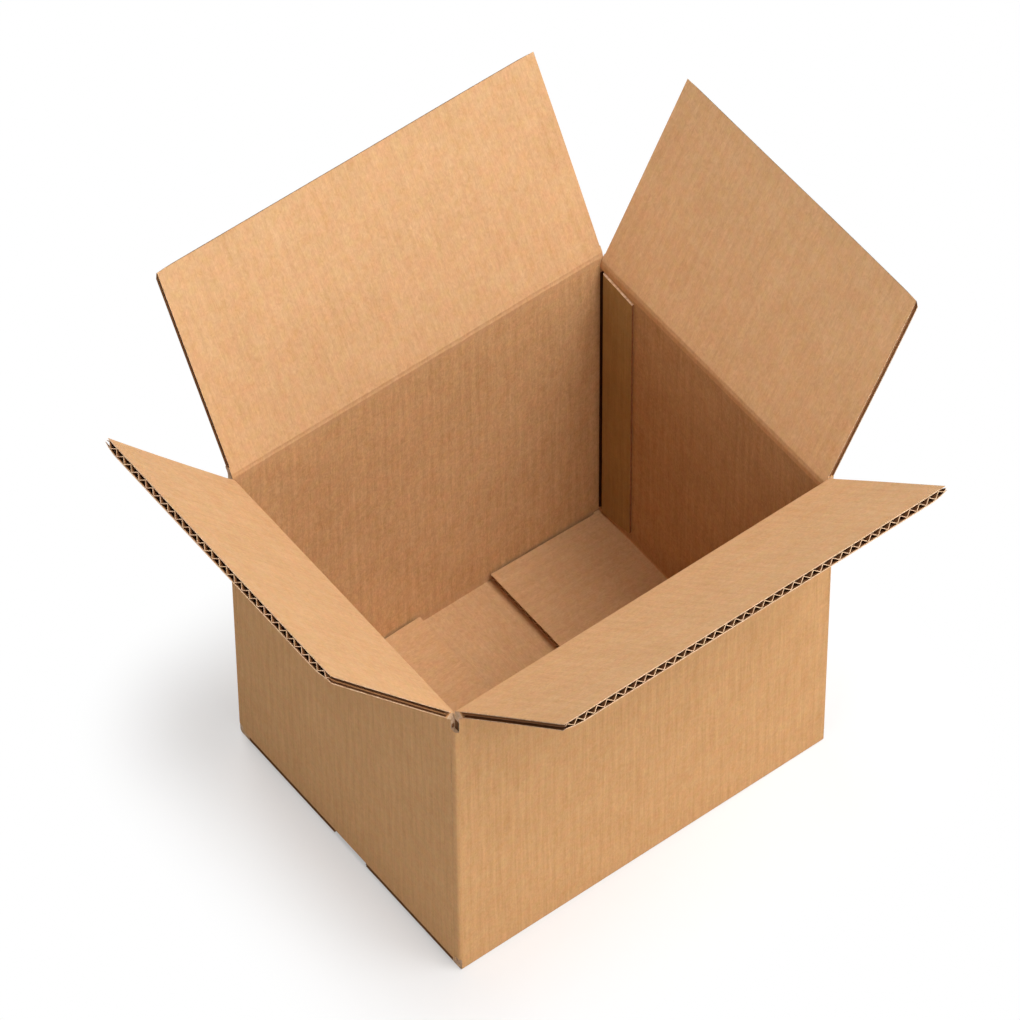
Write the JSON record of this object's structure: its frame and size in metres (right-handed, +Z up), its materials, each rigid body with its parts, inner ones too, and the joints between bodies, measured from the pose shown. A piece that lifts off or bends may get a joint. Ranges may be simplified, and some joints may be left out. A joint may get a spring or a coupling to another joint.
{
  "type": "open cardboard box",
  "caption": "Open corrugated carton with a glued bottom and hinged top flaps that fold out, in and shut.",
  "frame": {"origin": "on the floor, in the middle of the opened carton's outline seen from above, flaps included", "axes": "+Z up, X along the long walls, -Y towards the front long wall, -X towards the left short wall"},
  "size_m": [0.4626, 0.4184, 0.4098],
  "materials": {
    "board": "plain brown kraft liner, matt"
  },
  "bodies": {
    "carton": {"carton": "board"},
    "front_flap": {"front_flap": "board"},
    "back_flap": {"back_flap": "board"},
    "left_flap": {"left_flap": "board"},
    "right_flap": {"right_flap": "board"}
  },
  "joints": [
    {"name": "front_flap_crease", "type": "hinge", "parent": "carton", "child": "front_flap", "pos_m": [0.01183, -0.10126, 0.275], "axis": [-1, 0, 0], "range_deg": [-132, 136]},
    {"name": "back_flap_crease", "type": "hinge", "parent": "carton", "child": "back_flap", "pos_m": [0.01183, 0.13874, 0.275], "axis": [1, 0, 0], "range_deg": [-150, 114.5]},
    {"name": "left_flap_crease", "type": "hinge", "parent": "carton", "child": "left_flap", "pos_m": [-0.13817, 0.01874, 0.2695], "axis": [0, 1, 0], "range_deg": [-139, 129]},
    {"name": "right_flap_crease", "type": "hinge", "parent": "carton", "child": "right_flap", "pos_m": [0.16183, 0.01874, 0.2695], "axis": [0, -1, 0], "range_deg": [-150, 118]}
  ]
}
